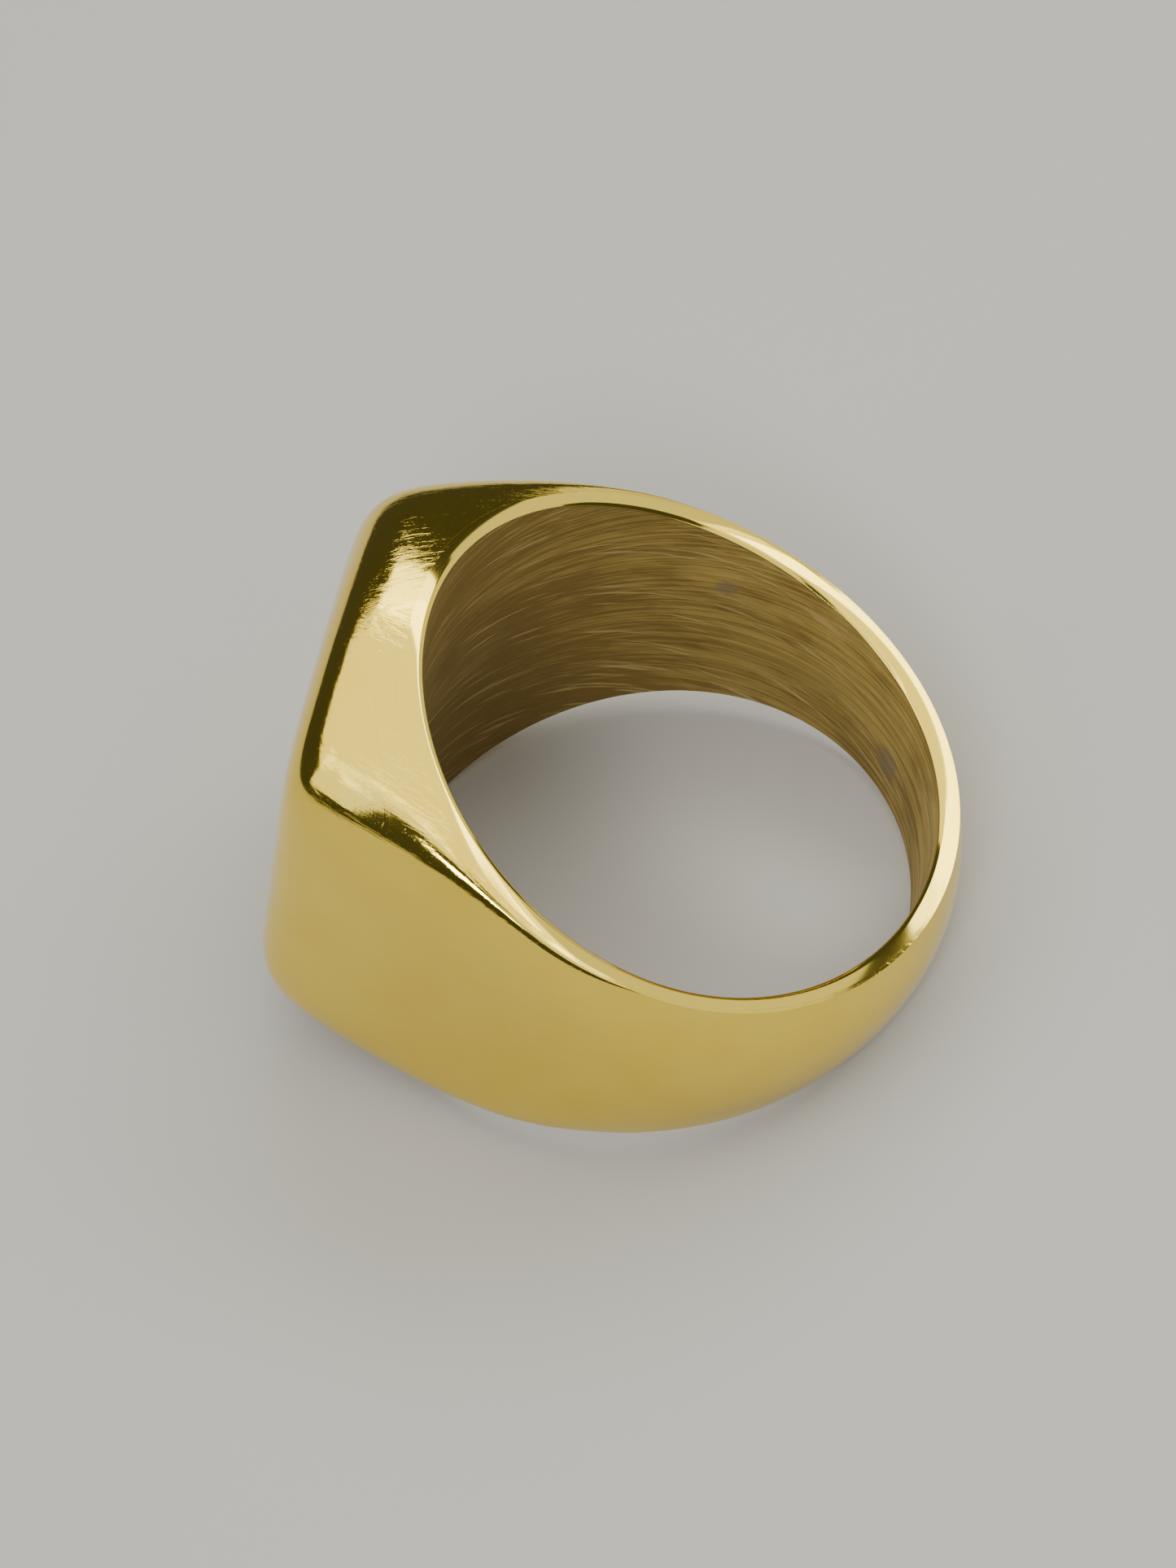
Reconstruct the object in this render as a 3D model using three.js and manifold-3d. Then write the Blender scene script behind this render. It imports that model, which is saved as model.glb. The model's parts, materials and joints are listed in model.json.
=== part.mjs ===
// A plain signet ring, built up from stock as a lined ring: a thin sleeve forms the bore, and a shank,
// two tapered shoulders and a hollow head with a flat table are soldered round it.
//
// Everything is first laid out in the ring's own frame: the finger passes along Z, the head points to
// -X and the back of the shank to +X. Left and right are those of someone who looks at the table.
// At the end the whole ring is tipped onto its side, as it lies on a surface.
import * as THREE from 'three';
import { mergeVertices } from 'three/addons/utils/BufferGeometryUtils.js';
import Module from 'manifold-3d';

const wasm = await Module();
wasm.setup();

// ---- driving dimensions, in millimetres and degrees ----
const BORE_RADIUS = 9.9; // a 19.8 mm bore, about US size 10
const SLEEVE_WALL = 0.62; // the thin sleeve that lines the bore
const SLEEVE_BEVEL = 0.15; // broken edge where the bore meets the rim
const SHANK_CREST = 1.3; // thickness of the shank along its crest
const SHELL_LAND = 0.14; // flat width of the rim outside the sleeve
const WIDTH_HEAD = 18.45; // width along the finger at the head
const WIDTH_SIDE = 10.05; // width along the finger halfway round
const WIDTH_BACK = 5.55; // width along the finger at the back of the shank
const TABLE_HEIGHT = 3.75; // from the bore out to the flat table
const TABLE_LENGTH = 14.3; // across the finger, between the table's soft ends
const SIDE_LEAN = 0.22; // how far each side of the head leans in per mm outwards
const TABLE_CROWN = 0.03; // the crown that is lapped off to make the table flat
const TABLE_PLATE = 1.5; // thickness of the table plate
const HEAD_WALL = 2.0; // wall left round the hollow of the head
const HOLLOW_ROUND = 1.0; // corner radius of the hollow
const SOLDER_FILM = 0.06; // thickness of each solder joint
const FIT = 0.02; // clearance on each side of a solder joint
const SOLDER_SINK = 0.02; // how far a solder line lies below the polished surface

const HEAD_SEAM = 140; // angle from the back of the shank to the joint of head and shoulder
const SHANK_SEAM = 96; // angle from the back of the shank to the joint of shoulder and shank
const SECTION_FROM = 77; // angle where the D-shaped section starts to turn into the head's
const SECTION_TO = 138; // angle where the head's boxed section is reached
const CORNER_SHARPNESS = 16; // how tightly the table's ends turn into the shoulders
const SHANK_CURVE = { across: 2, outwards: 1 }; // exponents of the section: a plain dome
const HEAD_CURVE = { across: 7, outwards: 3.7 }; // exponents of the section: a soft-edged box

const STEP = 3; // degrees between sections
const CROWN_POINTS = 22; // points over the outer curve of a section

// ---- values worked out from them ----
const rimLand = SLEEVE_WALL + SHELL_LAND; // flat width of the whole rim, sleeve and shell together
const sleeveRadius = BORE_RADIUS + SLEEVE_WALL;
const filmInner = sleeveRadius + FIT;
const filmOuter = filmInner + SOLDER_FILM;
const shellRadius = filmOuter + FIT;
const crestRadius = BORE_RADIUS + SHANK_CREST;
const tableRadius = BORE_RADIUS + TABLE_HEIGHT;
const plateUnderside = tableRadius - TABLE_PLATE;

// ---- materials ----
const finish = (color, roughness) => new THREE.MeshStandardMaterial({ color, roughness, metalness: 1 });
const polishedGold = finish(0xd8b45a, 0.08);
const satinGold = finish(0xc9a24e, 0.32);
const solderGold = finish(0xc4a25a, 0.18);

// ---- the outer form ----
const { degToRad, smoothstep } = THREE.MathUtils;

// Half the width along the finger: a parabola through the widths at the head, the side and the back.
function halfWidth(angle) {
  const along = Math.cos(angle);
  const taper = (WIDTH_BACK - WIDTH_HEAD) / 4;
  const bend = (WIDTH_BACK + WIDTH_HEAD) / 4 - WIDTH_SIDE / 2;
  return WIDTH_SIDE / 2 + taper * along + bend * along * along;
}

// Half-width at a distance out from the bore, where the sides of the head lean in.
function widthAt(angle, out) {
  return halfWidth(angle) - SIDE_LEAN * out * Math.max(0, -Math.cos(angle));
}

// Outline seen along the finger: the shank's circle, straight shoulders tangent to it, and the table.
function crestOutline(angle) {
  const turn = Math.abs(Math.atan2(Math.sin(angle), Math.cos(angle)));
  const crown = tableRadius + TABLE_CROWN;
  const cornerReach = Math.hypot(crown, TABLE_LENGTH / 2);
  const cornerAngle = Math.atan2(TABLE_LENGTH / 2, -crown);
  const tangentAngle = cornerAngle - Math.acos(crestRadius / cornerReach);
  const shoulder = Math.cos(Math.max(turn - tangentAngle, 0)) / crestRadius;
  const table = Math.max(-Math.cos(turn), 0) / crown;
  const p = CORNER_SHARPNESS;
  return 1 / (shoulder ** p + table ** p) ** (1 / p);
}

// How far an angle lies into the head: 0 on the shank, 1 on the head.
function headShare(angle) {
  return smoothstep(-Math.cos(angle), -Math.cos(degToRad(SECTION_FROM)), -Math.cos(degToRad(SECTION_TO)));
}

// The cut face at one angle, as points [radius, z] that run counterclockwise from the inner lower corner.
// sink draws the outer curve and both sides in a little.
function bodySection(angle, inner, sink = 0) {
  const share = headShare(angle);
  const across = THREE.MathUtils.lerp(SHANK_CURVE.across, HEAD_CURVE.across, share);
  const outwards = THREE.MathUtils.lerp(SHANK_CURVE.outwards, HEAD_CURVE.outwards, share);
  const rise = crestOutline(angle) - BORE_RADIUS - rimLand;
  const point = (side, out) => [BORE_RADIUS + out, side * (widthAt(angle, out) - sink)];
  const points = [point(-1, inner - BORE_RADIUS)];
  for (let i = 0; i <= CROWN_POINTS; i += 1) {
    const side = -Math.cos((Math.PI * i) / CROWN_POINTS);
    const out = rimLand + rise * (1 - Math.abs(side) ** across) ** (1 / outwards);
    points.push(point(side, out - sink));
  }
  points.push(point(1, inner - BORE_RADIUS));
  return points;
}

// ---- solids ----
// Carries a section round the finger axis from one angle to another, with flat ends or closed on itself.
function carry(section, from, to, closed = false) {
  const count = Math.max(1, Math.round(Math.abs(to - from) / STEP));
  const stations = closed ? count : count + 1;
  const outline = section(degToRad(from));
  const size = outline.length;
  const positions = [];
  for (let i = 0; i < stations; i += 1) {
    const angle = degToRad(from + ((to - from) * i) / count);
    for (const [radius, z] of section(angle)) {
      positions.push(radius * Math.cos(angle), radius * Math.sin(angle), z);
    }
  }
  const index = [];
  for (let i = 0; i < count; i += 1) {
    const near = i * size;
    const far = ((i + 1) % stations) * size;
    for (let j = 0; j < size; j += 1) {
      const next = (j + 1) % size;
      index.push(near + j, far + j, far + next);
      index.push(near + j, far + next, near + next);
    }
  }
  if (!closed) {
    const contour = outline.map(([radius, z]) => new THREE.Vector2(radius, z));
    const last = count * size;
    for (const [a, b, c] of THREE.ShapeUtils.triangulateShape(contour, [])) {
      index.push(a, b, c);
      index.push(last + a, last + c, last + b);
    }
  }
  const geometry = new THREE.BufferGeometry();
  geometry.setAttribute('position', new THREE.Float32BufferAttribute(positions, 3));
  geometry.setIndex(index);
  return geometry;
}

// A three.js geometry as a manifold solid, and back.
function toSolid(geometry) {
  const bare = geometry.clone();
  bare.deleteAttribute('normal');
  bare.deleteAttribute('uv');
  const merged = mergeVertices(bare, 1e-4);
  const vertProperties = new Float32Array(merged.attributes.position.array);
  const triVerts = new Uint32Array(merged.index.array);
  return new wasm.Manifold(new wasm.Mesh({ numProp: 3, vertProperties, triVerts }));
}

function toGeometry(solid) {
  const mesh = solid.getMesh();
  const geometry = new THREE.BufferGeometry();
  geometry.setAttribute('position', new THREE.Float32BufferAttribute(mesh.vertProperties, 3));
  geometry.setIndex(new THREE.Uint32BufferAttribute(mesh.triVerts, 1));
  return geometry;
}

// A slab across the head between two distances out from the finger axis, towards -X.
function slab(from, to) {
  const span = 4 * tableRadius;
  const box = new THREE.BoxGeometry(to - from, span, span);
  box.translate(-(from + to) / 2, 0, 0);
  return toSolid(box);
}

// The hollow of the head: a rounded rectangle that runs out from the sleeve to under the table plate.
function hollow() {
  const halfY = TABLE_LENGTH / 2 - HEAD_WALL;
  const halfZ = widthAt(Math.PI, TABLE_HEIGHT) - HEAD_WALL;
  const r = Math.min(HOLLOW_ROUND, halfY, halfZ);
  const shape = new THREE.Shape();
  shape.moveTo(-halfY + r, -halfZ);
  shape.lineTo(halfY - r, -halfZ);
  shape.absarc(halfY - r, -halfZ + r, r, -Math.PI / 2, 0);
  shape.absarc(halfY - r, halfZ - r, r, 0, Math.PI / 2);
  shape.absarc(-halfY + r, halfZ - r, r, Math.PI / 2, Math.PI);
  shape.absarc(-halfY + r, -halfZ + r, r, Math.PI, 1.5 * Math.PI);
  const depth = plateUnderside;
  const block = new THREE.ExtrudeGeometry(shape, { depth, bevelEnabled: false, curveSegments: 4 });
  block.rotateX(Math.PI / 2);
  block.rotateZ(Math.PI / 2);
  block.translate(-plateUnderside, 0, 0);
  return toSolid(block);
}

// Degrees that a length takes up round the ring at the shell's inner face.
const degreesFor = (length) => THREE.MathUtils.radToDeg(length / shellRadius);

// ---- the pieces ----
const pieces = [];
function addPiece(name, geometry, material) {
  const mesh = new THREE.Mesh(geometry, material);
  mesh.name = name;
  pieces.push(mesh);
}

// Sleeve: a thin band that lines the bore, with a broken edge at each rim.
function sleeveSection(angle) {
  const outer = widthAt(angle, SLEEVE_WALL);
  const inner = widthAt(angle, SLEEVE_BEVEL);
  const bore = inner - SLEEVE_BEVEL;
  const bevelRadius = BORE_RADIUS + SLEEVE_BEVEL;
  return [
    [BORE_RADIUS, -bore], [bevelRadius, -inner], [sleeveRadius, -outer],
    [sleeveRadius, outer], [bevelRadius, inner], [BORE_RADIUS, bore],
  ];
}
addPiece('bore_sleeve', carry(sleeveSection, 0, 360, true), satinGold);

// Solder film between the sleeve and everything round it, a little below the rim.
function filmSection(angle) {
  const z = widthAt(angle, SLEEVE_WALL) - SOLDER_SINK;
  return [[filmInner, -z], [filmOuter, -z], [filmOuter, z], [filmInner, z]];
}
addPiece('sleeve_solder', carry(filmSection, 0, 360, true), solderGold);

// Shank: the domed band round the back, D-shaped in section, between its two joints.
const shell = (angle) => bodySection(angle, shellRadius);
addPiece('shank', carry(shell, -SHANK_SEAM, SHANK_SEAM), polishedGold);

// A joint takes up a solder film with a clearance on each side, so the pieces past it start that much on.
const jointTurn = degreesFor(SOLDER_FILM + 2 * FIT);
const filmTurn = degreesFor(SOLDER_FILM);
const clearTurn = degreesFor(FIT);
const filmShell = (angle) => bodySection(angle, shellRadius, SOLDER_SINK);

// The sides differ only by a mirror: the right one lies towards -Y, the left one towards +Y.
for (const [side, sign] of [['right', -1], ['left', 1]]) {
  const arc = (section, from, to) => {
    const ends = [sign * from, sign * to].sort((a, b) => a - b);
    return carry(section, ends[0], ends[1]);
  };
  const shoulderFrom = SHANK_SEAM + jointTurn;
  const shankFilm = SHANK_SEAM + clearTurn;
  const headFilm = HEAD_SEAM + clearTurn;
  addPiece(`shank_solder_${side}`, arc(filmShell, shankFilm, shankFilm + filmTurn), solderGold);
  addPiece(`shoulder_${side}`, arc(shell, shoulderFrom, HEAD_SEAM), polishedGold);
  addPiece(`shoulder_solder_${side}`, arc(filmShell, headFilm, headFilm + filmTurn), solderGold);
}

// Head: one block between the shoulder joints, parted under the table plate and hollowed.
const headFrom = HEAD_SEAM + jointTurn;
const headBlock = toSolid(carry(shell, headFrom, 360 - headFrom));
const headFilm = toSolid(carry(filmShell, headFrom, 360 - headFrom));
const cavity = hollow();
const frameTop = plateUnderside - SOLDER_FILM - 2 * FIT;
const frame = headBlock.intersect(slab(0, frameTop)).subtract(cavity);
const film = headFilm.intersect(slab(frameTop + FIT, plateUnderside - FIT)).subtract(cavity);
const table = headBlock.intersect(slab(plateUnderside, tableRadius));
addPiece('head_frame', toGeometry(frame), polishedGold);
addPiece('table_solder', toGeometry(film), solderGold);
addPiece('signet_table', toGeometry(table), polishedGold);

// ---- lying on its side ----
// The ring rests on the lower rim of the head and the lower rim of the shank's back.
const restSpan = 2 * BORE_RADIUS + rimLand;
const tilt = Math.atan2(halfWidth(Math.PI) - halfWidth(0), restSpan);

const ring = new THREE.Group();
ring.add(...pieces);
ring.rotation.y = tilt;

// The origin is under the middle of the lying ring, on the surface.
const group = new THREE.Group();
group.add(ring);
group.updateMatrixWorld(true);
const box = new THREE.Box3().setFromObject(group, true);
const middle = box.getCenter(new THREE.Vector3());
ring.position.set(-middle.x, -middle.y, -box.min.z);

export default group;
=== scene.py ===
# %% [markdown]
# A gold-coloured signet ring, lying on its side.
#
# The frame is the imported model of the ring: every measured solid, in metres, with the surface it lies
# on at z = 0. It is loaded first and never moved. Its solids are faceted, and a mirror polish shows
# every facet, so each visible piece gets a fine surface of its own that stands for its solid.

import json
import math

import bmesh
import bpy
import numpy as np
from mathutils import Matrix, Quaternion, Vector


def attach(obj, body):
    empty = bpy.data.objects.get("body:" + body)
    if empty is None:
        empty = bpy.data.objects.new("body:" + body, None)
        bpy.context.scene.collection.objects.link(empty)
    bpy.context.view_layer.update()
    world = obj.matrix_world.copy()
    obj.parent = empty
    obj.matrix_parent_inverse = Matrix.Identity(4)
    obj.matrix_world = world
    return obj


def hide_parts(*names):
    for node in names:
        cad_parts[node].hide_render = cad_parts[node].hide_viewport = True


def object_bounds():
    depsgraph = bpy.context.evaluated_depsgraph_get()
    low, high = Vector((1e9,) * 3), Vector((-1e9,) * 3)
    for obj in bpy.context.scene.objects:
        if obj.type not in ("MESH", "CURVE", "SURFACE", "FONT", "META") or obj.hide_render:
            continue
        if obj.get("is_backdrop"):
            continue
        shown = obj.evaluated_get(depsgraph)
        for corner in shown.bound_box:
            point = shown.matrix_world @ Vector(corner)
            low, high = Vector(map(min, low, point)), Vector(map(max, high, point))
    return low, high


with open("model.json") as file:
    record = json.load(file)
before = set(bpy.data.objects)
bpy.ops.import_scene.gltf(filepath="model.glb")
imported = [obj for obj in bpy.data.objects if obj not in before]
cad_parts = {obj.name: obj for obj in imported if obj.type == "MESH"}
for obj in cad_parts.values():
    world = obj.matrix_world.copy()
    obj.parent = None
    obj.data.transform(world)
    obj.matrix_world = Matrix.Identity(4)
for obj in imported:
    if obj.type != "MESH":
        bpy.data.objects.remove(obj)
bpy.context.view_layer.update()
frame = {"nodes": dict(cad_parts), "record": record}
print("nodes:", sorted(frame["nodes"]))

# %% [markdown]
# The ring lies tilted, because its head is much wider than the back of its shank. Its shape is far
# easier to write down in the ring's own frame: Z is the way the finger passes, the head points to -X
# and the back of the shank to +X. The record holds the finger's axis and the middle of the bore as a
# mount, so the step from one frame to the other is read from there.

# %% The ring's own frame
MM = 0.001
mounts = {m["name"]: m for m in frame["record"]["mounts"]}
bore_centre = np.array(mounts["finger_bore"]["pos_m"])
finger_axis = np.array(mounts["finger_bore"]["axis"])
side_axis = np.array([0.0, 1.0, 0.0])
back_axis = np.cross(side_axis, finger_axis)
ring_to_world = np.stack([back_axis, side_axis, finger_axis])


def lay_down(points):
    """Ring-frame points in millimetres to world points in metres: turn, scale, then shift."""
    return points @ ring_to_world * MM + bore_centre


def turn_only(directions):
    """Ring-frame directions to world directions: the same turn, with no shift."""
    return directions @ ring_to_world


print("the ring leans by", round(math.degrees(math.acos(finger_axis[2])), 2), "degrees")

# %% [markdown]
# The camera looks down at about 51 degrees from a little to the right of the ring's near side, turned
# about its own line of sight. It is a long lens from about 16 cm away, which keeps the ellipses of the
# rims nearly free of perspective.

# %% Camera
CAMERA_AIM = (-0.0012, 0.0015, 0.0060)
CAMERA_AZIMUTH = math.radians(23.03)
CAMERA_ELEVATION = math.radians(51.25)
CAMERA_ROLL = math.radians(-14.92)
CAMERA_DISTANCE = 0.1588
CAMERA_LENS = 97.1


def add_camera():
    """Places the camera by azimuth, elevation and distance from the aim, then rolls it."""
    level = math.cos(CAMERA_ELEVATION)
    back = Vector((
        math.sin(CAMERA_AZIMUTH) * level,
        -math.cos(CAMERA_AZIMUTH) * level,
        math.sin(CAMERA_ELEVATION),
    ))
    data = bpy.data.cameras.new("camera")
    data.lens = CAMERA_LENS
    data.clip_start = 0.01
    data.clip_end = 20
    camera = bpy.data.objects.new("camera", data)
    camera.rotation_mode = "QUATERNION"
    camera.location = Vector(CAMERA_AIM) + back * CAMERA_DISTANCE
    aim = (-back).to_track_quat("-Z", "Y")
    camera.rotation_quaternion = aim @ Quaternion((0, 0, 1), CAMERA_ROLL)
    bpy.context.scene.collection.objects.link(camera)
    bpy.context.scene.camera = camera
    return camera


camera = add_camera()
print("camera at", [round(v, 4) for v in camera.location])

# %% [markdown]
# Polished metal has no look of its own: it shows what is round it. So the studio is part of the
# finish. A pale floor is what the lower half of the ring mirrors. A wide cream ceiling and a brighter
# window behind are what the flat side of the head and the rims look for. Softer lights stand low at
# the right, at the front left and right, and above the front. The bore faces away from all of them,
# so a small strong light at the front shines into it. The rest of the room stays dim, which gives the
# metal the dark tones that make it read as gold.

# %% Floor and lights
FLOOR_HALF = 0.9
FLOOR_COLOUR = (0.44, 0.435, 0.425, 1)
CREAM = (1.0, 0.95, 0.74)
CEILING_PLACE = Vector((0.125, 0.225, 0.70))


def shader_tree(name):
    """A new material with an empty node tree and its output node."""
    material = bpy.data.materials.new(name)
    material.use_nodes = True
    tree = material.node_tree
    tree.nodes.clear()
    output = tree.nodes.new("ShaderNodeOutputMaterial")
    return material, tree, output


def add_floor():
    """One flat square, far larger than the view."""
    corners = [(x, y, 0) for x, y in ((-1, -1), (1, -1), (1, 1), (-1, 1))]
    mesh = bpy.data.meshes.new("floor")
    mesh.from_pydata([(x * FLOOR_HALF, y * FLOOR_HALF, z) for x, y, z in corners], [], [(0, 1, 2, 3)])
    floor = bpy.data.objects.new("floor", mesh)
    bpy.context.scene.collection.objects.link(floor)
    material, tree, output = shader_tree("floor_paper")
    paper = tree.nodes.new("ShaderNodeBsdfPrincipled")
    paper.inputs["Base Color"].default_value = FLOOR_COLOUR
    paper.inputs["Roughness"].default_value = 0.9
    paper.inputs["Specular IOR Level"].default_value = 0.1
    tree.links.new(paper.outputs[0], output.inputs[0])
    mesh.materials.append(material)
    floor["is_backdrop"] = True
    return floor


def towards(azimuth, elevation, distance):
    """A point seen from the ring at an azimuth and elevation in degrees. Azimuth 0 is straight
    behind the ring (+Y) and 90 is to its right (+X)."""
    a, e = math.radians(azimuth), math.radians(elevation)
    way = Vector((math.sin(a) * math.cos(e), math.cos(a) * math.cos(e), math.sin(e)))
    return way * distance


def add_light(name, place, size, radiance, faces=None, colour=(1, 1, 1)):
    """A rectangular area light that faces the ring, or a given direction. Its power is radiance
    times pi times its area, so a mirror shows it at that radiance."""
    data = bpy.data.lights.new(name, "AREA")
    data.shape = "RECTANGLE"
    data.size, data.size_y = size
    data.energy = radiance * math.pi * size[0] * size[1]
    data.color = colour
    light = bpy.data.objects.new(name, data)
    light.location = place
    light.rotation_mode = "QUATERNION"
    light.rotation_quaternion = Vector(faces or -place).to_track_quat("-Z", "Y")
    bpy.context.scene.collection.objects.link(light)
    return light


def add_room(strength, colour):
    """The dim room round the studio: one even colour."""
    world = bpy.data.worlds.new("room")
    world.use_nodes = True
    back = world.node_tree.nodes["Background"]
    back.inputs["Color"].default_value = (*colour, 1)
    back.inputs["Strength"].default_value = strength
    bpy.context.scene.world = world


add_floor()
add_light("ceiling", CEILING_PLACE, size=(1.75, 0.72), radiance=1.7, faces=(0, 0, -1), colour=CREAM)
add_light("window_behind", towards(24, 53, 0.60), size=(0.76, 0.18), radiance=4.2)
add_light("front_left", towards(-126, 42, 0.60), size=(0.40, 0.56), radiance=1.5)
add_light("low_right", towards(36, 24, 0.70), size=(0.60, 0.36), radiance=0.9)
add_light("front_above", towards(176, 74, 0.65), size=(0.60, 0.22), radiance=1.5)
add_light("front_right", towards(128, 38, 0.60), size=(0.50, 0.36), radiance=1.1)
add_light("front_key", towards(176, 44, 0.60), size=(0.18, 0.14), radiance=20)
add_room(0.08, (0.80, 0.84, 0.90))

# %% [markdown]
# The outer form is one continuous polished surface, so it is one formula, and the pieces are cut from
# it. Round the finger it follows an outline: the shank's circle, two straight shoulders that leave it
# tangentially, and the flat table. Across the finger it follows a superellipse whose two exponents
# change on the way round: on the shank they give a plain dome with a crisp rim, and on the head a
# soft-edged box. These sizes are the CAD's own.

# %% The outer form
BORE_RADIUS = 9.9
SLEEVE_WALL = 0.62
SHANK_CREST = 1.3
RIM_LAND = 0.76
WIDTH_HEAD = 18.45
WIDTH_SIDE = 10.05
WIDTH_BACK = 5.55
TABLE_HEIGHT = 3.75
TABLE_LENGTH = 14.3
SIDE_LEAN = 0.22
TABLE_CROWN = 0.03
TABLE_PLATE = 1.5
SECTION_FROM = math.radians(77)
SECTION_TO = math.radians(138)
CORNER_SHARPNESS = 16
SHANK_CURVE = (2.0, 1.0)
HEAD_CURVE = (7.0, 3.7)

crest_radius = BORE_RADIUS + SHANK_CREST
table_radius = BORE_RADIUS + TABLE_HEIGHT
crown_radius = table_radius + TABLE_CROWN


def half_width(angle):
    """Half the width along the finger: a parabola in cos(angle) through head, side and back widths."""
    along = np.cos(angle)
    taper = (WIDTH_BACK - WIDTH_HEAD) / 4
    bend = (WIDTH_BACK + WIDTH_HEAD) / 4 - WIDTH_SIDE / 2
    return WIDTH_SIDE / 2 + taper * along + bend * along**2


def width_at(angle, out):
    """Half-width at a distance out from the bore: the head's sides lean in as they rise."""
    return half_width(angle) - SIDE_LEAN * out * np.maximum(0, -np.cos(angle))


def crest_outline(angle):
    """Radius of the outline: a soft minimum of the circle with its tangent shoulder and the table."""
    turn = np.abs(np.arctan2(np.sin(angle), np.cos(angle)))
    corner_reach = math.hypot(crown_radius, TABLE_LENGTH / 2)
    corner_angle = math.atan2(TABLE_LENGTH / 2, -crown_radius)
    tangent_angle = corner_angle - math.acos(crest_radius / corner_reach)
    shoulder = np.cos(np.maximum(turn - tangent_angle, 0)) / crest_radius
    table = np.maximum(-np.cos(turn), 0) / crown_radius
    p = CORNER_SHARPNESS
    return (shoulder**p + table**p) ** (-1 / p)


def section_exponents(angle):
    """The superellipse's two exponents, eased from the shank's to the head's in -cos(angle)."""
    low, high = -math.cos(SECTION_FROM), -math.cos(SECTION_TO)
    share = np.clip((-np.cos(angle) - low) / (high - low), 0, 1)
    share = share * share * (3 - 2 * share)
    across = SHANK_CURVE[0] + (HEAD_CURVE[0] - SHANK_CURVE[0]) * share
    outwards = SHANK_CURVE[1] + (HEAD_CURVE[1] - SHANK_CURVE[1]) * share
    return across, outwards


def outer_points(angle, bow):
    """Points of the outer surface. bow runs from -90 to 90 degrees across the finger: the side share
    is sin(bow) to the power 2/across, and the rise share is cos(bow) to the power 2/outwards."""
    across, outwards = section_exponents(angle)
    side = np.sign(bow) * np.abs(np.sin(bow)) ** (2 / across)
    lift = np.abs(np.cos(bow)) ** (2 / outwards)
    rise = crest_outline(angle) - BORE_RADIUS - RIM_LAND
    out = RIM_LAND + rise * lift
    radius = BORE_RADIUS + out
    z = side * width_at(angle, out)
    points = np.stack([radius * np.cos(angle), radius * np.sin(angle), z], -1)
    points[..., 0] = np.maximum(points[..., 0], -table_radius)
    return points


# %% [markdown]
# A piece of the band is that form carried round a stretch of the ring: each cut face is a closed loop of
# points, and the loops are stacked into a grid. Across the finger the points crowd where the section
# turns tightly, because equal steps of the superellipse's own angle do that by themselves. The ends are
# closed with one flat face each.

# %% Stacking loops into a closed solid
def link_mesh(name, mesh):
    """An object at the origin that holds a mesh."""
    piece = bpy.data.objects.new(name, mesh)
    bpy.context.scene.collection.objects.link(piece)
    return piece


def stack_loops(name, loops, closed):
    """A closed solid from loops, an array of stations by points by 3 in the ring's frame. Quads join
    each loop to the next; the ends are capped, or joined to each other when the ring is closed."""
    stations, size = loops.shape[:2]
    near = np.arange(stations if closed else stations - 1)
    far = (near + 1) % stations
    point = np.arange(size)
    after = (point + 1) % size
    corners = [
        near[:, None] * size + point,
        far[:, None] * size + point,
        far[:, None] * size + after,
        near[:, None] * size + after,
    ]
    quads = np.stack(corners, -1).reshape(-1, 4)
    around = quads.ravel()
    starts = np.arange(len(quads)) * 4
    if not closed:
        last = (stations - 1) * size
        around = np.concatenate([around, point, last + point[::-1]])
        starts = np.concatenate([starts, [quads.size, quads.size + size]])
    mesh = bpy.data.meshes.new(name)
    mesh.vertices.add(stations * size)
    mesh.loops.add(len(around))
    mesh.polygons.add(len(starts))
    mesh.vertices.foreach_set("co", lay_down(loops.reshape(-1, 3)).astype(np.float32).ravel())
    mesh.loops.foreach_set("vertex_index", around.astype(np.int32))
    mesh.polygons.foreach_set("loop_start", starts.astype(np.int32))
    mesh.update(calc_edges=True)
    mesh.validate()
    return link_mesh(name, mesh)


SOLDER_GAP = 0.10
shell_radius = BORE_RADIUS + SLEEVE_WALL + SOLDER_GAP
BOW_STEPS = 200


def body_loops(angles):
    """Loops of the body at some angles: the outer curve, then back along the face on the sleeve."""
    bow = np.linspace(-np.pi / 2, np.pi / 2, BOW_STEPS + 1)
    outer = outer_points(angles[:, None], bow[None, :])
    out = shell_radius - BORE_RADIUS
    z = width_at(angles, out)
    x, y = shell_radius * np.cos(angles), shell_radius * np.sin(angles)
    inner = np.stack([np.stack([x, y, z], -1), np.stack([x, y, -z], -1)], 1)
    return np.concatenate([outer, inner], 1)


def stretch(start, end, step=0.25):
    """Angles in radians from start to end in degrees, about one step apart."""
    return np.radians(np.linspace(start, end, max(1, round(abs(end - start) / step)) + 1))


print("points in a loop:", body_loops(stretch(0, 1)).shape[1])

# %% [markdown]
# A mirror finish forgives nothing in the shading. Blender would average the directions of the faces
# round each point, which bends the reflections at every cut edge. The form is a formula, so its true
# direction at any point is the slope of that formula, and each corner of each outer face is given it.
# Faces that are not part of the outer form, such as the cut ends, stay flat.

# %% Exact shading of the polished form
def to_ring(points):
    """World points in metres to ring-frame points in millimetres."""
    return (points - bore_centre) / MM @ ring_to_world.T


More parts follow.
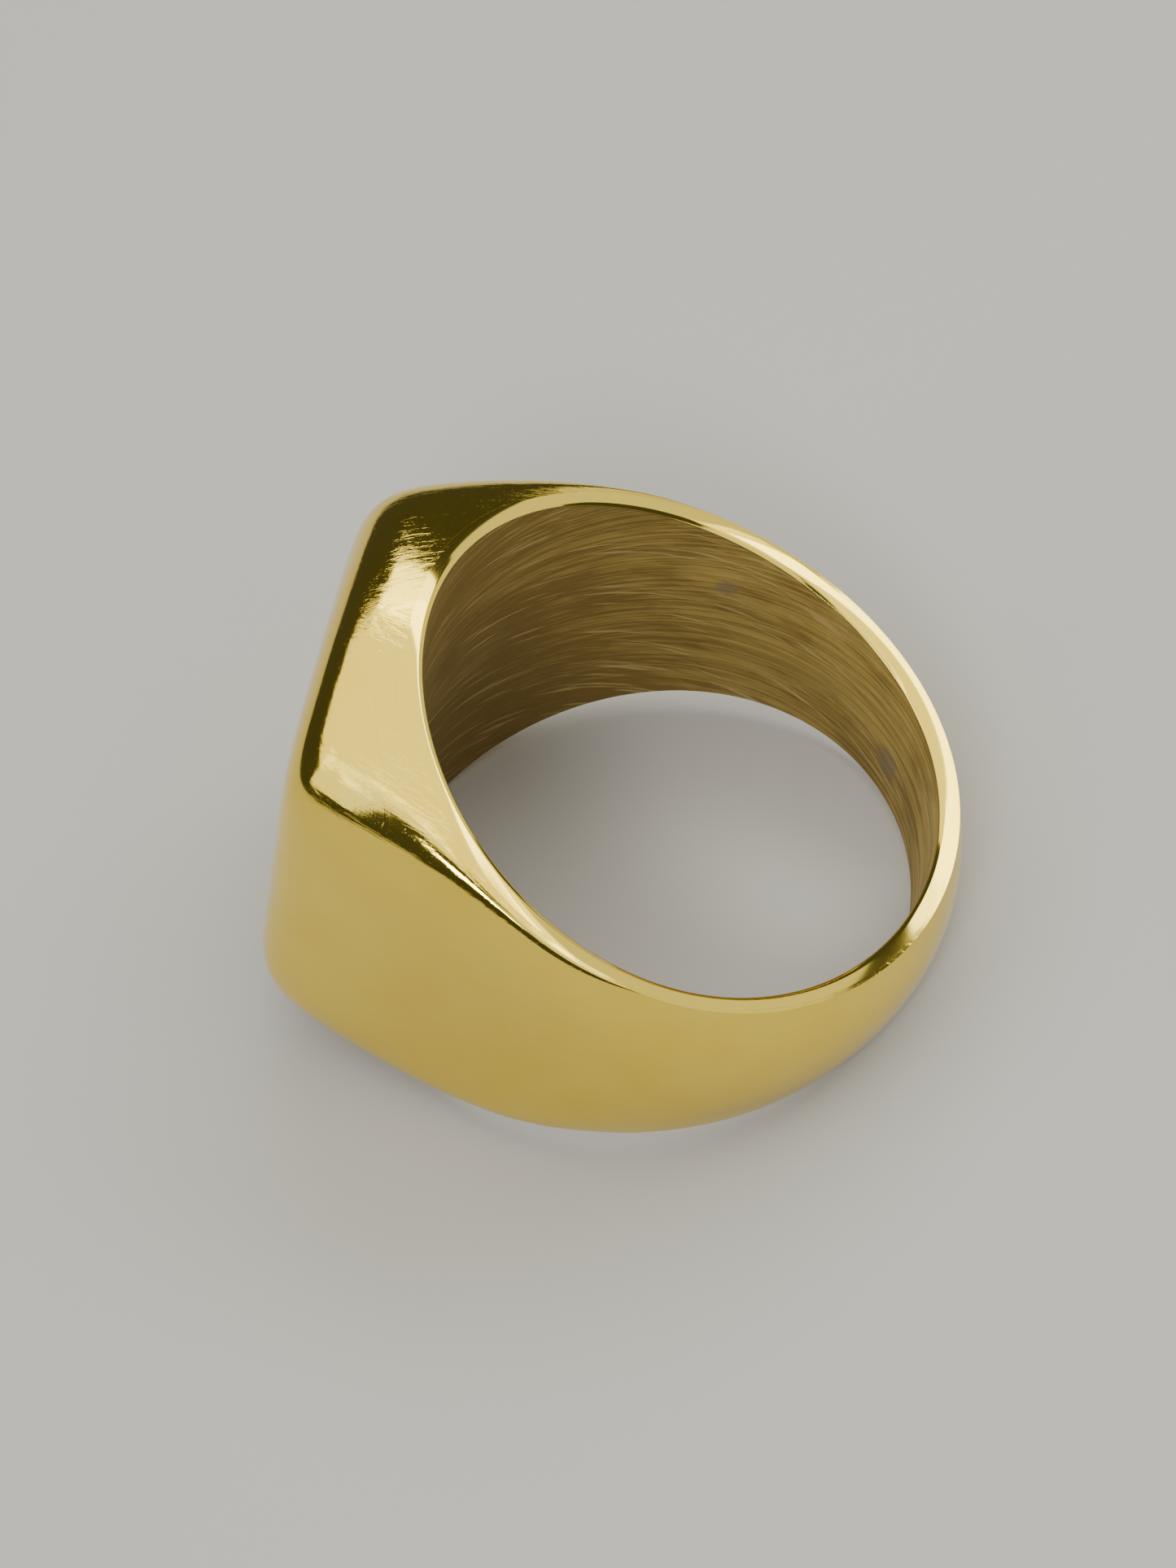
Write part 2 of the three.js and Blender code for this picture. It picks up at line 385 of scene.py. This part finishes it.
def form_level(points, with_lift):
    """The superellipse's sum: side share to one power, and rise share to the other. It is 1 on the
    surface. Without the rise it is the flat side of the rim alone."""
    x, y, z = points.T
    angle = np.arctan2(y, x)
    out = np.hypot(x, y) - BORE_RADIUS
    across, outwards = section_exponents(angle)
    level = np.abs(z / width_at(angle, out)) ** across
    lift = (out - RIM_LAND) / (crest_outline(angle) - BORE_RADIUS - RIM_LAND)
    return level + np.where(with_lift, np.sign(lift) * np.abs(lift) ** outwards, 0)


def form_direction(points, with_lift):
    """Unit slope of the form's level, by central differences."""
    step = 1e-4
    slope = np.zeros_like(points)
    for axis in range(3):
        shift = np.zeros(3)
        shift[axis] = step
        slope[:, axis] = form_level(points + shift, with_lift) - form_level(points - shift, with_lift)
    return slope / np.linalg.norm(slope, axis=1, keepdims=True)


def shade_form(piece):
    """Gives each corner of the outer faces the form's own direction, and the rest their face's."""
    mesh = piece.data
    corner_count, face_count = len(mesh.loops), len(mesh.polygons)
    vertex = np.empty(corner_count, np.int32)
    mesh.loops.foreach_get("vertex_index", vertex)
    total = np.empty(face_count, np.int32)
    mesh.polygons.foreach_get("loop_total", total)
    co = np.empty(len(mesh.vertices) * 3, np.float32)
    mesh.vertices.foreach_get("co", co)
    flat = np.empty(face_count * 3, np.float32)
    mesh.polygons.foreach_get("normal", flat)
    flat = flat.reshape(-1, 3).astype(float) @ ring_to_world.T
    points = to_ring(co.reshape(-1, 3).astype(float))
    face = np.repeat(np.arange(face_count), total)
    corner = points[vertex]
    centre = np.zeros((face_count, 3))
    np.add.at(centre, face, corner)
    centre /= total[:, None]
    x, y, z = centre.T
    rising = np.hypot(x, y) - BORE_RADIUS > RIM_LAND
    level = form_level(corner, rising[face])
    lapped = corner[:, 0] < -table_radius + 2e-3
    on_form = np.ones(face_count, bool)
    np.logical_and.at(on_form, face, (np.abs(level - 1) < 2e-2) | lapped)
    direction = form_direction(corner, rising[face])
    agrees = np.einsum("ij,ij->i", direction, flat[face]) > 0.7
    use = on_form[face] & agrees
    all_lapped = np.ones(face_count, bool)
    np.logical_and.at(all_lapped, face, lapped)
    direction[all_lapped[face]] = (-1.0, 0.0, 0.0)
    use |= all_lapped[face]
    direction = np.where(use[:, None], direction, flat[face])
    mesh.polygons.foreach_set("use_smooth", np.ones(face_count, bool))
    mesh.normals_split_custom_set(turn_only(direction).tolist())
    return round(float(use.mean()), 3)


# %% [markdown]
# The shank is the domed band round the back. On each side a solder line, a tapered shoulder and another
# solder line follow, up to the head. The joints are polished flush in the same colour, so they hardly
# show.

# %% Shank, shoulders and their solder lines
SHANK_SEAM = 96.0
HEAD_SEAM = 140.0
joint_turn = math.degrees(SOLDER_GAP / shell_radius)
pieces = {}


def band_piece(name, start, end, step=0.25):
    """One stretch of the band, from start to end in degrees, shaded as the form."""
    piece = stack_loops(name, body_loops(stretch(start, end, step)), closed=False)
    share = shade_form(piece)
    print(name, len(piece.data.polygons), "faces, form share", share)
    pieces[name] = piece
    return piece


band_piece("shank_band", -SHANK_SEAM, SHANK_SEAM, step=0.5)
for side, sign in (("right", -1), ("left", 1)):
    for name, start, end in (
        ("shank_joint", SHANK_SEAM, SHANK_SEAM + joint_turn),
        ("shoulder", SHANK_SEAM + joint_turn, HEAD_SEAM),
        ("shoulder_joint", HEAD_SEAM, HEAD_SEAM + joint_turn),
    ):
        low, high = sorted((sign * start, sign * end))
        band_piece(f"{name}_{side}_skin", low, high)

# %% [markdown]
# The head is one block of the same form, parted by two flat cuts into the frame, a film of solder and
# the table plate, and the frame is hollowed behind the table, as heavy signets are to save metal. Flat
# cuts through a curved surface are what a boolean is for. The block is made first, then each piece is
# the block cut by a box or by the hollow.

# %% Head frame, table and the solder between
HEAD_WALL = 2.0
HOLLOW_ROUND = 1.0
CORNER_STEPS = 8
head_start = HEAD_SEAM + joint_turn
underside = table_radius - TABLE_PLATE
frame_top = underside - SOLDER_GAP


def prism(name, outline, low, high):
    """A straight prism along the ring's X, from an outline of (y, z) points: low and high are x."""
    count = len(outline)
    points = np.concatenate([
        np.column_stack([np.full(count, low), outline]),
        np.column_stack([np.full(count, high), outline]),
    ])
    turn = np.arange(count)
    after = (turn + 1) % count
    sides = np.stack([turn, turn + count, after + count, after], -1).tolist()
    ends = [turn.tolist(), (turn[::-1] + count).tolist()]
    mesh = bpy.data.meshes.new(name)
    mesh.from_pydata(lay_down(points).tolist(), [], sides + ends)
    mesh.update()
    rebuilt = bmesh.new()
    rebuilt.from_mesh(mesh)
    bmesh.ops.recalc_face_normals(rebuilt, faces=rebuilt.faces)
    rebuilt.to_mesh(mesh)
    rebuilt.free()
    return link_mesh(name, mesh)


def rounded_rectangle(half_y, half_z, r):
    """A rectangle's outline with quarter-circle corners, as (y, z) points."""
    quarter = np.linspace(0, np.pi / 2, CORNER_STEPS + 1)
    corners = []
    for k, (sy, sz) in enumerate(((1, 1), (-1, 1), (-1, -1), (1, -1))):
        a = quarter + k * np.pi / 2
        corners.append(np.column_stack([
            sy * (half_y - r) + r * np.cos(a), sz * (half_z - r) + r * np.sin(a),
        ]))
    return np.concatenate(corners)


def cut(name, block, steps):
    """A copy of block after boolean steps, each an operation and the piece it uses."""
    copy = link_mesh(name, block.data.copy())
    for operation, tool in steps:
        step = copy.modifiers.new(operation, "BOOLEAN")
        step.operation = operation
        step.object = tool
        step.solver = "MANIFOLD"
    graph = bpy.context.evaluated_depsgraph_get()
    result = bpy.data.meshes.new_from_object(copy.evaluated_get(graph))
    copy.modifiers.clear()
    copy.data = result
    result.name = name
    share = shade_form(copy)
    print(name, len(result.polygons), "faces, form share", share)
    pieces[name] = copy
    return copy


angles = stretch(head_start, 360 - head_start)
block = stack_loops("head_block", body_loops(angles), closed=False)
far = 20.0
wide = np.array([(-far, -far), (far, -far), (far, far), (-far, far)])
hollow_outline = rounded_rectangle(
    TABLE_LENGTH / 2 - HEAD_WALL, float(width_at(np.pi, TABLE_HEIGHT)) - HEAD_WALL, HOLLOW_ROUND
)
below_frame_top = prism("below_frame_top", wide, -frame_top, far)
joint_slab = prism("joint_slab", wide, -underside, -frame_top)
above_underside = prism("above_underside", wide, -far, -underside)
hollow = prism("hollow", hollow_outline, -underside + 1e-3, 0.0)
cut("head_walls", block, [("INTERSECT", below_frame_top), ("DIFFERENCE", hollow)])
cut("table_joint", block, [("INTERSECT", joint_slab), ("DIFFERENCE", hollow)])
cut("table_plate", block, [("INTERSECT", above_underside)])
for tool in (block, below_frame_top, joint_slab, above_underside, hollow):
    bpy.data.objects.remove(tool)

# %% [markdown]
# The sleeve lines the bore. Its wall is straight along the finger. At each rim a small rounded edge
# leads to a band that slopes a little towards the bore, so the band catches other light than the side
# of the head beside it. Between the sleeve and everything round it lies the solder, a hair below the
# rim.

# %% Sleeve and its solder line
SLEEVE_STATIONS = 1080
SOLDER_DEPTH = 0.004
# The rim's rounded edge, as distance out from the bore and drop below the rim, in millimetres.
RIM_EDGE = np.array([
    (0.000, 0.190), (0.006, 0.168), (0.020, 0.150), (0.060, 0.126), (0.110, 0.097), (0.150, 0.073),
    (0.170, 0.064),
])
RIM_SLOPE = 0.06
RIM_DOME = 0.173


def rim_profile():
    """The edge, then a dome whose drop is 0.06 u + 0.173 u^2, with u the distance from the outside."""
    out = np.linspace(0.19, SLEEVE_WALL, 12)
    u = SLEEVE_WALL - out
    return np.concatenate([RIM_EDGE, np.column_stack([out, RIM_SLOPE * u + RIM_DOME * u * u])])


def rim_loops(profile, angles):
    """Loops of a band whose two rims are the profile and its mirror, joined by straight walls."""
    out, drop = profile.T
    z = width_at(angles[:, None], out) - drop
    radius = BORE_RADIUS + np.broadcast_to(out, z.shape)
    upper = np.stack([radius * np.cos(angles[:, None]), radius * np.sin(angles[:, None]), z], -1)
    lower = upper * (1, 1, -1)
    return np.concatenate([lower, upper[:, ::-1]], 1)


def ring_piece(name, profile, crease):
    """A band that runs all the way round, smooth except where faces meet at more than crease."""
    angles = np.linspace(0, 2 * np.pi, SLEEVE_STATIONS, endpoint=False)
    piece = stack_loops(name, rim_loops(profile, angles), closed=True)
    mesh = piece.data
    mesh.polygons.foreach_set("use_smooth", np.ones(len(mesh.polygons), bool))
    mesh.set_sharp_from_angle(angle=math.radians(crease))
    print(name, len(mesh.polygons), "faces")
    pieces[name] = piece
    return piece


ring_piece("sleeve_lining", rim_profile(), crease=30)
film_profile = np.array([(SLEEVE_WALL, SOLDER_DEPTH), (SLEEVE_WALL + SOLDER_GAP, SOLDER_DEPTH)])
ring_piece("sleeve_joint", film_profile, crease=30)

# %% [markdown]
# Shader maths reads best as ordinary maths. The small class below wraps one socket of a node tree, so
# that 1 - mask or a * b + c adds the Math nodes by itself. Its one other method makes any node.

# %% Writing shader maths as expressions
class Wire:
    """One output socket. Arithmetic with numbers or other wires adds Math nodes."""

    def __init__(self, tree, socket):
        self.tree = tree
        self.socket = socket

    def make(self, kind, sockets, output=0, **settings):
        """Adds a node: its settings first, then each named or numbered socket's value or link."""
        node = self.tree.nodes.new(kind)
        for key, value in settings.items():
            setattr(node, key, value)
        for key, value in sockets.items():
            if isinstance(value, Wire):
                self.tree.links.new(value.socket, node.inputs[key])
            else:
                node.inputs[key].default_value = value
        return Wire(self.tree, node.outputs[output])

    def math(self, operation, *values, clamp=False):
        """A Math node on this wire and up to two more values."""
        sockets = dict(enumerate((self, *values)))
        return self.make("ShaderNodeMath", sockets, operation=operation, use_clamp=clamp)

    def vector(self, operation, other, output=0):
        """A Vector Math node on this wire and one more vector."""
        return self.make("ShaderNodeVectorMath", {0: self, 1: other}, output, operation=operation)

    def __add__(self, other):
        return self.math("ADD", other)

    def __sub__(self, other):
        return self.math("SUBTRACT", other)

    def __mul__(self, other):
        return self.math("MULTIPLY", other)

    def __truediv__(self, other):
        return self.math("DIVIDE", other)

    def __pow__(self, other):
        return self.math("POWER", other)

    def __rsub__(self, other):
        return self.make("ShaderNodeMath", {0: other, 1: self}, operation="SUBTRACT")

    __radd__ = __add__
    __rmul__ = __mul__

    def between(self, low, high):
        """0 below low, 1 above high, and a smooth step from one to the other."""
        sockets = {"Value": self, "From Min": low, "From Max": high}
        return self.make("ShaderNodeMapRange", sockets, interpolation_type="SMOOTHSTEP")

    def mix_colours(self, first, second):
        """A colour from first to second as this wire goes from 0 to 1."""
        sockets = {"Factor": self, 6: first, 7: second}
        return self.make("ShaderNodeMix", sockets, output=2, data_type="RGBA")


# %% [markdown]
# Marks on a ring follow how it was worked and worn. Brushing and turning leave lines that run round the
# finger; wear leaves short scratches that cross each other. Both need the ring's own directions, so
# each material starts from Object coordinates turned into the ring's frame, in millimetres. Lines that
# run round are noise whose pattern is squeezed along the finger and stretched round it. Because it is
# read at the cosine and sine of the angle, it closes on itself with no seam.

# %% The ring's directions inside a material
class RingTree:
    """A material's tree with wires for the ring-frame position, in millimetres."""

    def __init__(self, name):
        self.material, self.tree, self.output = shader_tree(name)
        start = Wire(self.tree, None)
        place = start.make("ShaderNodeTexCoord", {}, output="Object")
        offset = place.vector("SUBTRACT", tuple(bore_centre))
        self.start = start
        self.x, self.y, self.z = (
            offset.vector("DOT_PRODUCT", tuple(axis / MM), output="Value") for axis in ring_to_world
        )
        self.radius = (self.x * self.x + self.y * self.y) ** 0.5
        self.along = self.x / self.radius
        self.round = self.y / self.radius
        self.place = self.combine(self.x, self.y, self.z)

    def combine(self, x, y, z):
        """Three wires or numbers as one vector."""
        return self.start.make("ShaderNodeCombineXYZ", {0: x, 1: y, 2: z})

    def noise(self, vector, scale, detail=3.0, rough=0.5, distortion=0.0):
        """Perlin noise from 0 to 1 at a scale in features per unit of the vector."""
        sockets = {
            "Vector": vector, "Scale": scale, "Detail": detail,
            "Roughness": rough, "Distortion": distortion,
        }
        return self.start.make("ShaderNodeTexNoise", sockets, output=0)

    def lines_round(self, per_mm, length, slant=0.0, phase=0.0):
        """Noise in lines that run round the finger: per_mm across them, about length mm long."""
        lean = self.along * slant + phase
        across = (self.z + lean + self.radius * 1.7) * per_mm
        reach = BORE_RADIUS / length
        return self.combine(self.along * reach + phase, self.round * reach, across)

    def lines_towards(self, direction, per_mm, length):
        """Noise in straight lines along a ring-frame direction: per_mm across, length mm long."""
        along = np.array(direction, float) / np.linalg.norm(direction)
        helper = np.cross(along, (0.31, 0.53, 0.79))
        across = helper / np.linalg.norm(helper)
        third = np.cross(along, across)
        wires = [
            self.place.vector("DOT_PRODUCT", tuple(axis * scale), output="Value")
            for axis, scale in ((along, 1 / length), (across, per_mm), (third, per_mm))
        ]
        return self.combine(*wires)

    def bump(self, height, micrometres, normal=None):
        """A Bump node whose height of 1 stands for that many micrometres."""
        sockets = {"Height": height, "Strength": 1.0, "Distance": micrometres * 1e-6}
        if normal is not None:
            sockets["Normal"] = normal
        return self.start.make("ShaderNodeBump", sockets)

    def metal(self, colour, roughness, normal, metallic=1.0):
        """A metallic Principled shader on the material's output."""
        sockets = {"Base Color": colour, "Roughness": roughness, "Normal": normal, "Metallic": metallic}
        shader = self.start.make("ShaderNodeBsdfPrincipled", sockets)
        self.tree.links.new(shader.socket, self.output.inputs[0])
        return self.material


# %% [markdown]
# Polished gold. Underneath is a nearly clean mirror: a roughness of a few hundredths, slightly clouded
# by handling, over a surface that is not perfectly true, so that straight reflections waver. On top are
# hairline scratches in three directions, kept sparse by a high threshold on the noise, and the faint
# lines of the polishing mop, which run round the finger. The sides of the head also have stronger
# lines drawn along the shoulders, which stop short of the table.

# %% Polished gold
GOLD = (0.93, 0.70, 0.105, 1)
GOLD_DEEP = (0.89, 0.64, 0.075, 1)


def polished_gold(name):
    """The outside's finish."""
    t = RingTree(name)
    cloud = t.noise(t.place, 0.35, detail=4)
    fine_cloud = t.noise(t.place, 2.2, detail=3)
    mop = t.noise(t.lines_round(per_mm=9, length=6, slant=0.6), 1.0, detail=4, rough=0.6)
    mop_deep = t.noise(t.lines_round(per_mm=22, length=4, slant=-0.8, phase=3.1), 1.0, detail=2)
    hairs = [
        t.noise(t.lines_towards(way, per_mm=14, length=long), 1.0, detail=1).between(0.70, 0.78)
        for way, long in (((1, 0.2, 0.3), 1.6), ((0.2, 1, -0.6), 1.1), ((-0.4, 0.3, 1), 0.9))
    ]
    scratches = (hairs[0] + hairs[1]).math("ADD", hairs[2], clamp=True)
    wavering = t.noise(t.place, 0.55, detail=1)
    side = t.y.math("ABSOLUTE")
    drawn_way = t.combine((t.x * 0.93 + side * 0.37) * 0.35, (side * 0.93 - t.x * 0.37) * 5, t.z * 5)
    on_head = (t.x * -1).between(2.0, 8.0) * (1 - (t.x * -1).between(12.0, 13.2))
    drawn = t.noise(drawn_way, 1.0, detail=4, rough=0.65).between(0.42, 0.80) * on_head
    normal = t.bump(wavering, 16)
    normal = t.bump(drawn, 4.5, normal)
    normal = t.bump(mop, 0.8, normal)
    normal = t.bump(mop_deep, 0.35, normal)
    normal = t.bump(scratches, -0.8, normal)
    shade = cloud.between(0.35, 0.7) * 0.6 + mop.between(0.45, 0.75) * 0.3
    body = shade.mix_colours(GOLD, GOLD_DEEP)
    roughness = cloud * 0.05 + fine_cloud * 0.03 + mop.between(0.5, 0.8) * 0.05
    roughness = roughness + scratches * 0.12 + 0.035
    return t.metal(body, roughness, normal)


# %% [markdown]
# The bore was brushed round and then worn by the finger. Its lines are coarser and cross at shallow
# angles in bundles, a few bright ones are longer than the rest, and two spots near the back of the
# shank are tarnished to grey. Its colour also holds painted shade: it darkens towards the head and low
# down along the finger, where the head and the floor shade it, and a thin dark line is painted at the
# rounded edge. The brushed metal scatters light instead of mirroring it, and lowering Metallic there
# stands in for that scatter: it is a stand-in, not how a bare metal is made up. The rim bands belong to
# the sleeve too but are polished, so the finish changes at the rounded edge.

# %% Satin bore
BORE_COLOUR = (0.98, 0.73, 0.19, 1)
# The brown serves both the random stains and the painted shade towards the head and low down.
BORE_BROWN = (0.36, 0.24, 0.04, 1)
BORE_BRIGHT = (0.99, 0.79, 0.30, 1)
TARNISH = (0.34, 0.28, 0.20, 1)
# A nearly black colour for the painted shade line at the bore's rounded edge.
PAINTED_EDGE_SHADE = (0.10, 0.06, 0.015, 1)
SATIN_SCATTER = 0.6
# Angle from the back of the shank, height along the finger, and radius of each spot, degrees and mm.
TARNISH_SPOTS = ((88.0, 2.1, 0.50), (37.0, -1.1, 0.70))


def satin_bore(name):
    """Brushed wall with a polished rim: the two are parted by the distance from the bore's wall."""
    t = RingTree(name)
    wall = 1 - t.radius.between(BORE_RADIUS + 0.004, BORE_RADIUS + 0.03)
    bundles = t.noise(t.lines_round(per_mm=2.2, length=9, slant=1.5), 1.0, detail=4, rough=0.6)
    brushed = t.noise(t.lines_round(per_mm=7, length=8, slant=-1.3, phase=1.3), 1.0, detail=3, rough=0.7)
    crossed = t.noise(t.lines_round(per_mm=7, length=6, slant=2.2, phase=5.2), 1.0, detail=3, rough=0.7)
    bright = t.noise(t.lines_round(per_mm=6, length=4, slant=0.9, phase=8.4), 1.0, detail=2)
    long_lines = bright.between(0.58, 0.70)
    cloud = t.noise(t.lines_round(per_mm=0.45, length=4, phase=2.2), 1.0, detail=5, rough=0.6)
    height = brushed * 0.6 + crossed * 0.4
    normal = t.bump(height * wall, 45)
    normal = t.bump(bundles * wall, 35, normal)
    normal = t.bump(long_lines * wall, -12, normal)
    stain_and_painted_shade = cloud.between(0.42, 0.66) * 0.40 + bundles.between(0.45, 0.70) * 0.25
    # Painted shade: the colour darkens towards the head and low down, where the head and floor shade the
    # bore.
    painted_shade_near_head = (t.along * -1).between(-0.25, 0.85) * 0.55
    painted_shade_low_down = (1 - t.z.between(-5.0, 4.0)) * 0.30
    stain_and_painted_shade = (stain_and_painted_shade + painted_shade_near_head + painted_shade_low_down + brushed.between(0.42, 0.60) * 0.55).math("MINIMUM", 1.0)
    body = (stain_and_painted_shade * wall).mix_colours(BORE_COLOUR, BORE_BROWN)
    body = (long_lines * wall * 0.8).mix_colours(body, BORE_BRIGHT)
    for angle, height_mm, radius in TARNISH_SPOTS:
        a = math.radians(angle)
        centre = (BORE_RADIUS * math.cos(a), BORE_RADIUS * math.sin(a), height_mm)
        away = t.place.vector("DISTANCE", centre, output="Value")
        ragged = away + (t.noise(t.place, 1.6, detail=4) - 0.5) * radius * 1.6
        spot = 1 - ragged.between(radius * 0.5, radius * 1.2)
        body = (spot * 0.65).mix_colours(body, TARNISH)
    body = (1 - wall).mix_colours(body, GOLD)
    # Painted shade: a thin dark line just inside the bore's rounded edge, which is also made rougher.
    edge = 1 - (t.radius - (BORE_RADIUS + 0.015)).math("ABSOLUTE").between(0.010, 0.022)
    body = (edge * 0.9).mix_colours(body, PAINTED_EDGE_SHADE)
    satin = 0.30 + brushed * 0.14 + cloud * 0.12 - long_lines * 0.10
    rim = 0.05 + cloud * 0.06
    roughness = satin * wall + rim * (1 - wall) + edge * 0.3
    return t.metal(body, roughness, normal, metallic=1 - wall * SATIN_SCATTER)


gold = polished_gold("polished_gold")
solder = polished_gold("gold_solder")
satin = satin_bore("satin_bore")
print("materials:", gold.name, solder.name, satin.name)

# %% [markdown]
# Each piece takes its finish, stands for its own solid, and rides on the ring's one body, because
# nothing on a signet ring moves.

# %% Finishes and places
PLACES = {
    "sleeve_lining": ("bore_sleeve", "satin_bore", satin),
    "sleeve_joint": ("sleeve_solder", "solder", solder),
    "shank_band": ("shank", "polished_gold", gold),
    "head_walls": ("head_frame", "polished_gold", gold),
    "table_joint": ("table_solder", "solder", solder),
    "table_plate": ("signet_table", "polished_gold", gold),
}
for side in ("right", "left"):
    PLACES[f"shank_joint_{side}_skin"] = (f"shank_solder_{side}", "solder", solder)
    PLACES[f"shoulder_{side}_skin"] = (f"shoulder_{side}", "polished_gold", gold)
    PLACES[f"shoulder_joint_{side}_skin"] = (f"shoulder_solder_{side}", "solder", solder)

for name, (node, slot, material) in PLACES.items():
    piece = pieces[name]
    piece.data.materials.clear()
    piece.data.materials.append(material)
    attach(piece, "root")
    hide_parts(node)
print(len(PLACES), "pieces placed")

# %% Sizes and the end
low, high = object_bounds()
print("visual box in mm:", [round(1000 * v, 2) for v in (*low, *high)])
